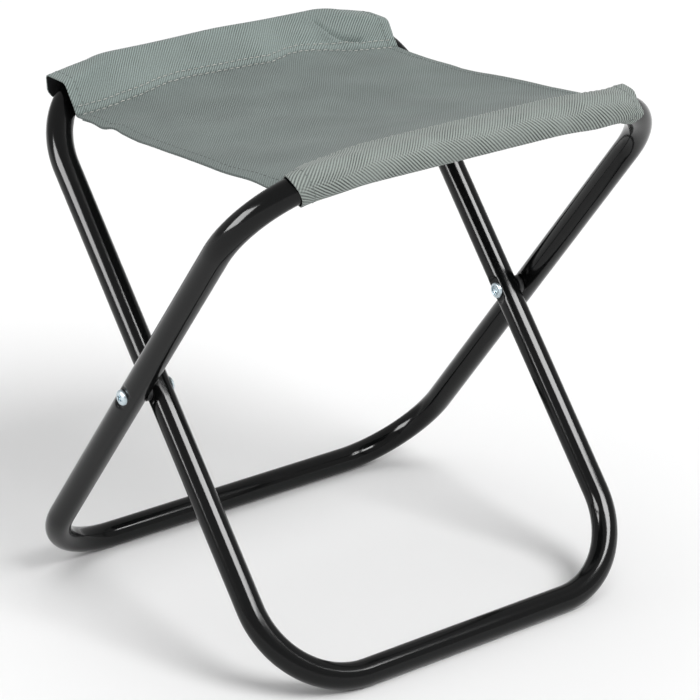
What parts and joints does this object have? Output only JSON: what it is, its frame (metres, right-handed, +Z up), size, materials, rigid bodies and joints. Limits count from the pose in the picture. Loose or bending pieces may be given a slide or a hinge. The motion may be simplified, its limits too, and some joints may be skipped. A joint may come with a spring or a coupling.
{
  "type": "folding camp stool",
  "caption": "Small folding camp stool: crossed bent steel tube frames on side pivots, with a sagging sewn cloth seat.",
  "frame": {"origin": "middle of the stool's overall box at floor level: X midway between the legs, Y at the pivot axis, Z on the floor under both bottom rails", "axes": "+Z up; X runs along the rails and the pivot axis; +Y is towards the rear rail, which the inner loop carries; -Y is towards the front rail, which the outer loop carries"},
  "size_m": [0.314, 0.268, 0.3215],
  "materials": {
    "frame_paint": "gloss",
    "zinc": "zinc plated",
    "black_plastic": "matte",
    "seat_cloth": "woven polyester, matte",
    "thread": "sewing thread"
  },
  "bodies": {
    "outer": {"outer_frame": "frame_paint", "screw_left": "zinc", "screw_right": "zinc", "nut_left": "zinc", "nut_right": "zinc", "spacer_left": "black_plastic", "spacer_right": "black_plastic", "front_sleeve": "seat_cloth", "stitch_front": "thread", "seat_panel": "seat_cloth", "hem_left": "seat_cloth", "hem_right": "seat_cloth", "stitch_hem_left": "thread", "stitch_hem_right": "thread"},
    "inner": {"inner_frame": "frame_paint", "rear_sleeve": "seat_cloth", "stitch_rear_upper": "thread", "stitch_rear_lower": "thread"}
  },
  "joints": [
    {"name": "fold", "type": "hinge", "parent": "outer", "child": "inner", "pos_m": [0, 0, 0.15911], "axis": [1, 0, 0], "range_deg": [0, 70], "deforming": ["seat_panel", "hem_left", "hem_right", "stitch_hem_left", "stitch_hem_right"]}
  ]
}
